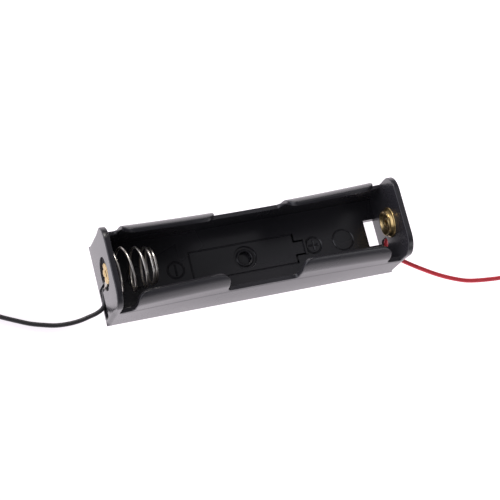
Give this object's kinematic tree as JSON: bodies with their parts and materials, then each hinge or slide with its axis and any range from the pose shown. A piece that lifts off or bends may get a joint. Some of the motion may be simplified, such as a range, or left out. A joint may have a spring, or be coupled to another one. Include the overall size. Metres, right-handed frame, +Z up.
{
  "type": "cylindrical cell holder",
  "caption": "Open moulded cradle for one round cell, with a coil spring contact, a raised brass contact and two bare-ended leads.",
  "frame": {"origin": "middle of the underside of the holder, on the surface it stands on", "axes": "+X from the negative (spring) end to the positive (button) end, +Y across the holder, +Z up out of the open bay"},
  "size_m": [0.1786, 0.0412, 0.02],
  "materials": {
    "shell": "satin",
    "spring_wire": "polished",
    "brass": "polished",
    "solder": "satin",
    "black_pvc": "satin",
    "red_pvc": "satin"
  },
  "bodies": {
    "holder": {"body": "shell", "negative_rivet": "brass", "positive_button": "brass", "positive_rivet": "brass", "negative_solder": "solder", "positive_solder": "solder", "negative_core": "solder", "positive_core": "solder", "black_lead": "black_pvc", "red_lead": "red_pvc", "black_coil": "black_pvc", "red_coil": "red_pvc", "black_tail": "black_pvc", "red_tail": "red_pvc", "black_tip": "solder", "red_tip": "solder"},
    "spring": {"negative_spring": "spring_wire"}
  },
  "joints": [
    {"name": "spring_press", "type": "slide", "parent": "holder", "child": "spring", "axis": [-1, 0, 0], "range_m": [0, 0.0045], "stiffness_N_per_m": 640, "deforming": ["negative_spring"]}
  ]
}
